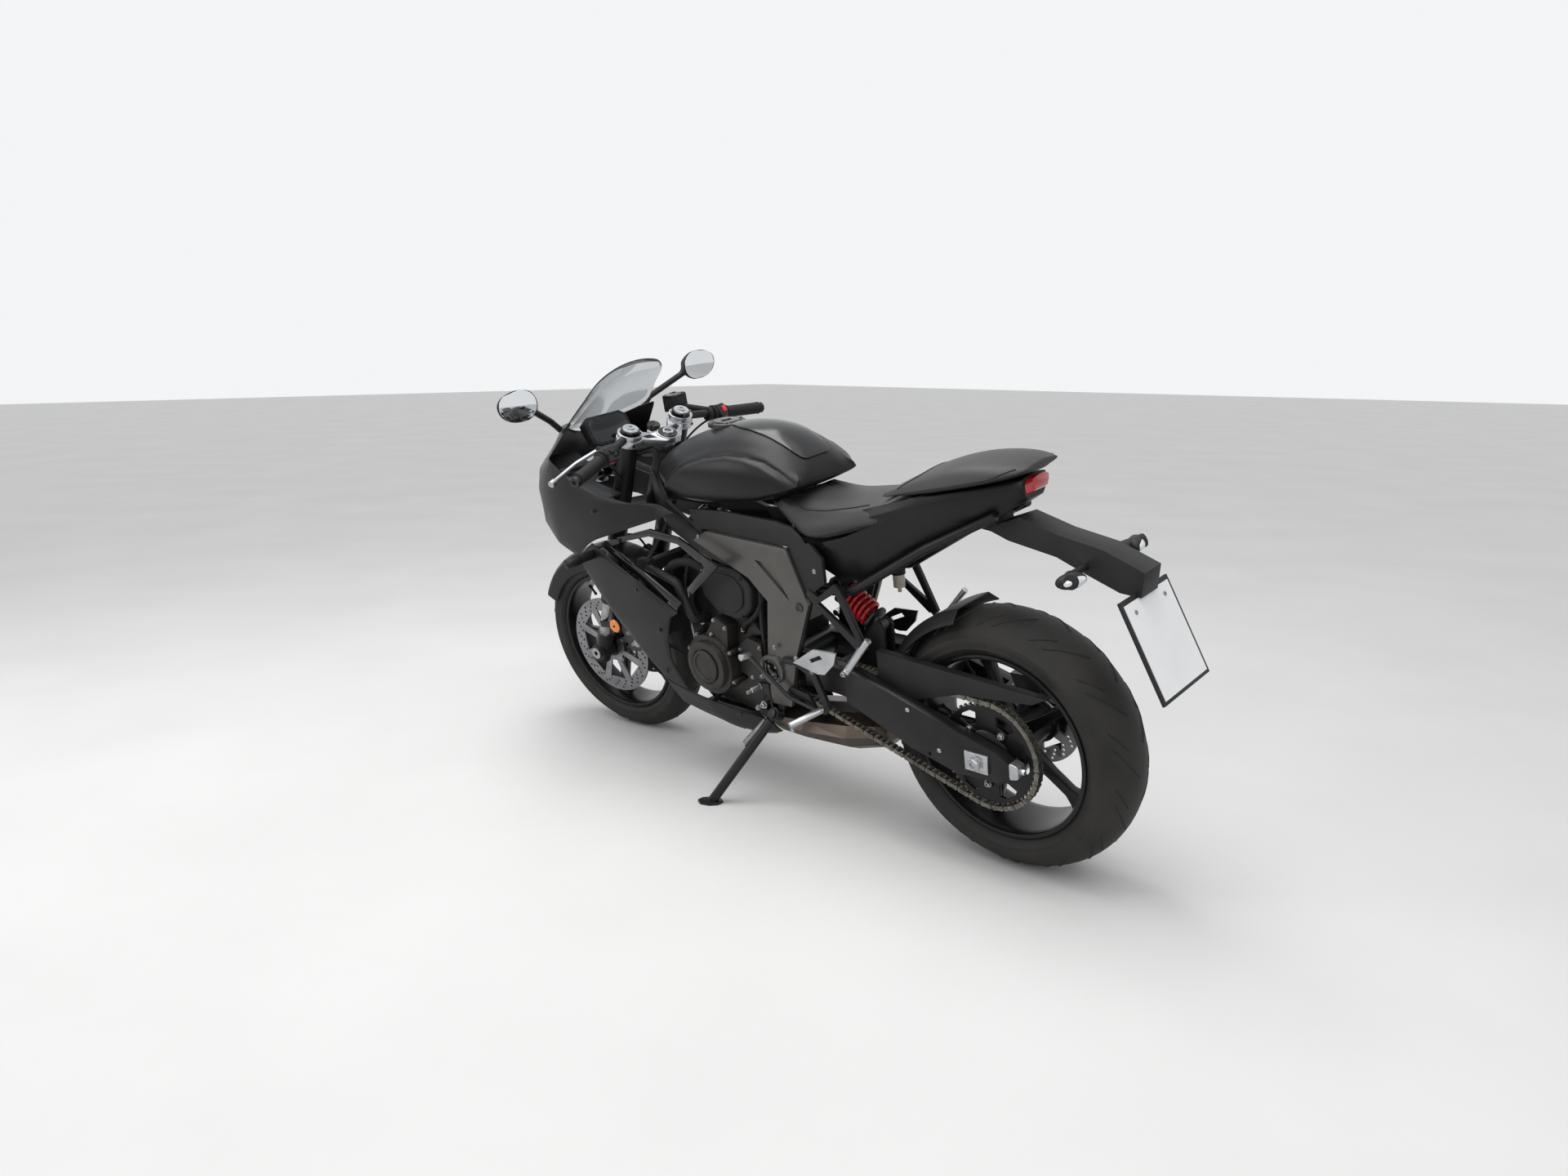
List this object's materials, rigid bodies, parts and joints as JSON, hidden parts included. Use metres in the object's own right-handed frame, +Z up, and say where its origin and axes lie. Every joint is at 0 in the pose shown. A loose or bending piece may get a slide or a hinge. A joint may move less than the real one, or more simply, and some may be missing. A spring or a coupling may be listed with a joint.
{
  "type": "sport bike",
  "caption": "Full-fairing sport motorcycle with clip-on bars, split seats, underslung exhaust and long plate hanger, leaning on its side stand with the bars turned a little.",
  "frame": {"origin": "on the floor under the middle of the whole bike's box", "axes": "+X towards the front wheel, +Y to the rider's left, +Z up; the bike leans to its left on the stand"},
  "size_m": [2.1362, 0.7949, 1.1843],
  "materials": {
    "matte_black_paint": "matt",
    "frame_black": "satin",
    "black_plastic": "matt",
    "gloss_black": "gloss",
    "grey_panel": "satin",
    "tyre_rubber": "matt",
    "bright_alloy": "satin",
    "dark_alloy": "satin",
    "steel": "brushed",
    "cast_case": "satin",
    "seat_cover": "matt",
    "clear_screen": "clear",
    "lamp_glass": "clear",
    "red_lens": "gloss",
    "red_spring": "gloss",
    "white_plate": "gloss",
    "rubber_grip": "matt"
  },
  "bodies": {
    "chassis": {"belly_cowl": "matte_black_paint", "cockpit_panel": "black_plastic", "drive_chain": "steel", "engine": "cast_case", "engine_covers": "cast_case", "exhaust": "steel", "fairing_vanes": "gloss_black", "footrests": "bright_alloy", "frame_covers": "grey_panel", "fuel_tank": "matte_black_paint", "headlamps": "lamp_glass", "indicators": "black_plastic", "instrument_cluster": "gloss_black", "main_frame": "frame_black", "mirrors": "black_plastic", "number_plate": "white_plate", "passenger_seat": "seat_cover", "plate_hanger": "black_plastic", "radiator": "dark_alloy", "rear_axle": "bright_alloy", "rear_caliper": "cast_case", "rider_seat": "seat_cover", "shock_absorber": "red_spring", "side_covers": "black_plastic", "side_fairings": "matte_black_paint", "swingarm": "frame_black", "tail_cowl": "matte_black_paint", "tail_light": "red_lens", "upper_cowl": "matte_black_paint", "wheel_guards": "black_plastic", "windscreen": "clear_screen"},
    "steering": {"fork_yokes": "bright_alloy", "fork_legs": "frame_black", "front_axle": "bright_alloy", "front_calipers": "cast_case", "front_mudguard": "matte_black_paint", "handlebars": "rubber_grip"},
    "front_wheel": {"front_rim": "matte_black_paint", "front_tyre": "tyre_rubber", "front_discs": "steel"},
    "rear_wheel": {"rear_rim": "matte_black_paint", "rear_tyre": "tyre_rubber", "rear_disc": "steel", "rear_sprocket": "steel"},
    "side_stand": {"side_stand": "frame_black"}
  },
  "joints": [
    {"name": "steering", "type": "hinge", "parent": "chassis", "child": "steering", "pos_m": [0.51654, -0.0506, 0.75184], "axis": [-0.4026, 0.1505, 0.9029], "range_deg": [-33, 20]},
    {"name": "front_wheel", "type": "hinge", "parent": "steering", "child": "front_wheel", "pos_m": [0.76962, -0.1214, 0.29471], "axis": [-0.107, 0.9719, -0.2097], "continuous": true},
    {"name": "rear_wheel", "type": "hinge", "parent": "chassis", "child": "rear_wheel", "pos_m": [-0.65567, -0.12417, 0.312], "axis": [-0.0002, 0.9864, -0.1645], "continuous": true},
    {"name": "side_stand", "type": "hinge", "parent": "chassis", "child": "side_stand", "pos_m": [-0.02674, 0.02, 0.25181], "axis": [0.0523, 0.9164, 0.3969], "range_deg": [0, 105]}
  ]
}
